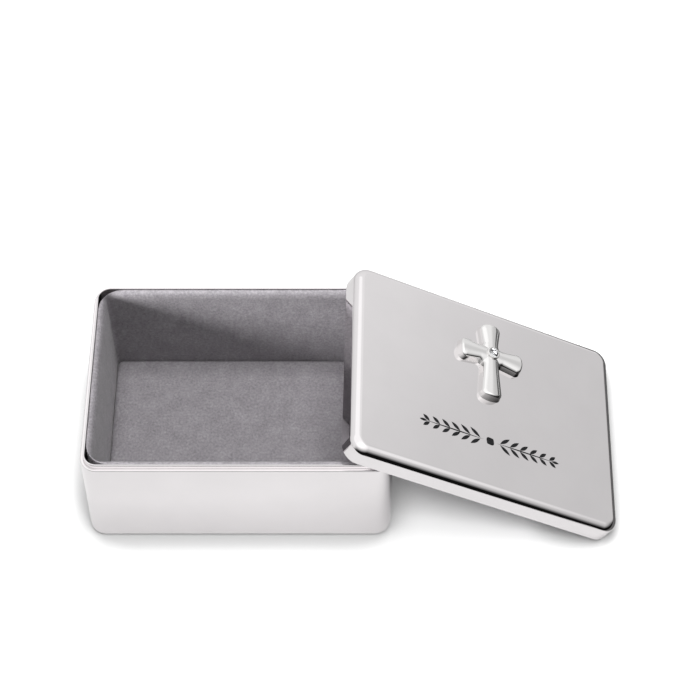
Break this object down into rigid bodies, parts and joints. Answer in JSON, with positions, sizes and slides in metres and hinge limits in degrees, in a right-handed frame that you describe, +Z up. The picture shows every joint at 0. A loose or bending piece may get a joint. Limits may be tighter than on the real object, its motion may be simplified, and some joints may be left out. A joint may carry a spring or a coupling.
{
  "type": "rosary box",
  "caption": "Small polished metal keepsake box with rounded corners and a padded suede lining. Its loose lid, with a raised cross set with a clear stone, leans open on the rim.",
  "frame": {"origin": "centre of the box's underside, where it stands on the table; the lid beside it isn't counted", "axes": "+X to the right, towards the lid, along the box's long side; +Z up; the front of the box faces -Y"},
  "size_m": [0.1582, 0.0697, 0.0482],
  "materials": {
    "silver_plate": "polished silver plate",
    "cast_silver": "polished casting",
    "spring_steel": "plain",
    "grey_suede": "napped suede cloth",
    "grey_board": "plain",
    "wadding": "loose wadding",
    "base_felt": "thin felt",
    "clear_stone": "cut and polished"
  },
  "bodies": {
    "box": {"box_shell": "silver_plate", "rim_collar": "silver_plate", "wall_board": "grey_board", "wall_wadding": "wadding", "wall_lining": "grey_suede", "floor_board": "grey_board", "floor_wadding": "wadding", "floor_lining": "grey_suede", "base_felt": "base_felt"},
    "lid": {"lid_shell": "silver_plate", "lid_board": "grey_board", "lid_wadding": "wadding", "lid_lining": "grey_suede", "cross": "cast_silver", "cross_push_nuts": "spring_steel", "stone_collet": "cast_silver", "stone": "clear_stone"}
  },
  "joints": [
    {"name": "lid_lift", "type": "slide", "parent": "box", "child": "lid", "axis": [0, 0, 1], "range_m": [0, 0.08]}
  ]
}
